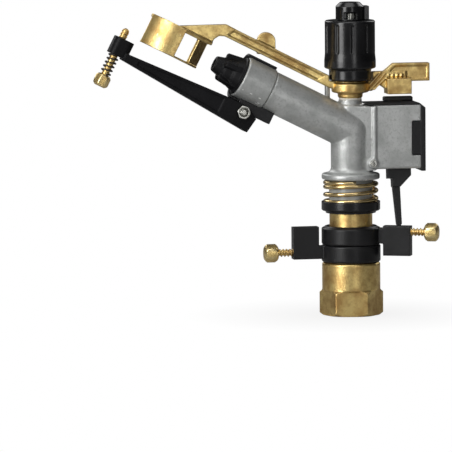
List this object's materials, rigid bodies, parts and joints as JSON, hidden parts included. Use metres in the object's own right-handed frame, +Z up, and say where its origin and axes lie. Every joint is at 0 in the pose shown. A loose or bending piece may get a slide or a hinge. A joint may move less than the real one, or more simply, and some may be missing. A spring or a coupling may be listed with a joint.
{
  "type": "impact sprinkler",
  "caption": "Part-circle impact sprinkler: threaded inlet base, turning head with angled barrel, spring-returned impact arm, trip lever, two adjustable stop collars and a jet breaker arm",
  "frame": {"origin": "centre of the inlet's bottom face", "axes": "+Z up along the inlet and pivot axis; the jet leaves towards -X; the trip mechanism is on the +X side; the front is -Y"},
  "size_m": [0.2486, 0.0536, 0.226],
  "materials": {
    "cast_brass": "cast",
    "cast_aluminium": "sand cast",
    "black_plastic": "moulded",
    "steel": "turned",
    "spring_wire": "drawn wire",
    "grey_plastic": "moulded",
    "white_nylon": "moulded",
    "black_rubber": "moulded"
  },
  "bodies": {
    "base": {"inlet_base": "cast_brass", "lower_thrust_washer": "white_nylon", "seal_washer": "black_rubber", "upper_thrust_washer": "white_nylon", "spring_cup": "black_plastic", "bearing_spring": "spring_wire"},
    "head": {"body_casting": "cast_aluminium", "bearing_pipe": "cast_brass", "spring_sleeve": "grey_plastic", "stream_straightener": "white_nylon", "nozzle_collar": "cast_aluminium", "nozzle_seal_ring": "black_rubber", "nozzle": "black_plastic", "arm_pivot_pin": "steel", "arm_washer": "white_nylon", "pivot_nut": "steel", "spring_housing": "black_plastic", "arm_spring": "steel", "mechanism_cover": "black_plastic", "housing_screw": "steel", "lever_pivot_pin": "steel", "toggle_spring": "steel", "breaker_saddle": "black_plastic", "breaker_bolt": "steel", "breaker_nut": "steel"},
    "arm": {"impact_arm": "cast_brass", "arm_bushing": "white_nylon"},
    "lever": {"trip_lever": "black_plastic"},
    "dog": {"reversing_dog": "black_plastic"},
    "lower_stop": {"lower_stop_collar": "black_plastic"},
    "upper_stop": {"upper_stop_collar": "black_plastic"},
    "lower_screw": {"lower_stop_screw": "cast_brass"},
    "upper_screw": {"upper_stop_screw": "cast_brass"},
    "breaker": {"breaker_arm": "black_plastic", "breaker_lock_spring": "spring_wire"},
    "breaker_pin": {"breaker_screw": "cast_brass"},
    "knob": {"tension_knob": "black_plastic"}
  },
  "joints": [
    {"name": "head_turn", "type": "hinge", "parent": "base", "child": "head", "pos_m": [0, 0, 0.1], "axis": [0, 0, 1], "range_deg": [0, 150]},
    {"name": "arm_swing", "type": "hinge", "parent": "head", "child": "arm", "pos_m": [0, 0, 0.163], "axis": [0, 0, 1], "range_deg": [0, 110], "stiffness_Nm_per_rad": 0.02, "springref_deg": -34.38},
    {"name": "trip_lever_swing", "type": "hinge", "parent": "head", "child": "lever", "pos_m": [0.035, 0, 0.112], "axis": [1, 0, 0], "range_deg": [0, 14], "deforming": ["toggle_spring"]},
    {"name": "dog_lift", "type": "slide", "parent": "head", "child": "dog", "axis": [0, 0, 1], "range_m": [0, 0.00488]},
    {"name": "lower_stop_turn", "type": "hinge", "parent": "base", "child": "lower_stop", "pos_m": [0, 0, 0.045], "axis": [0, 0, 1], "range_deg": [0, 60]},
    {"name": "upper_stop_turn", "type": "hinge", "parent": "base", "child": "upper_stop", "pos_m": [0, 0, 0.057], "axis": [0, 0, 1], "range_deg": [-40, 0]},
    {"name": "lower_screw_travel", "type": "slide", "parent": "lower_stop", "child": "lower_screw", "axis": [-1, 0, 0], "range_m": [0, 0.003]},
    {"name": "upper_screw_travel", "type": "slide", "parent": "upper_stop", "child": "upper_screw", "axis": [0.9135, -0.4067, 0], "range_m": [0, 0.003]},
    {"name": "breaker_tilt", "type": "hinge", "parent": "head", "child": "breaker", "pos_m": [-0.08027, 0, 0.1489], "axis": [0, 1, 0], "range_deg": [-30, 0]},
    {"name": "breaker_pin_travel", "type": "slide", "parent": "breaker", "child": "breaker_pin", "axis": [0.4524, 0, 0.8918], "range_m": [-0.006, 0]},
    {"name": "knob_turn", "type": "hinge", "parent": "head", "child": "knob", "pos_m": [0, 0, 0.22], "axis": [0, 0, 1], "range_deg": [-60, 60]}
  ],
  "couplings": [
    {"joint": "trip_lever_swing", "follows": "dog_lift", "rad_per_m": 50}
  ]
}
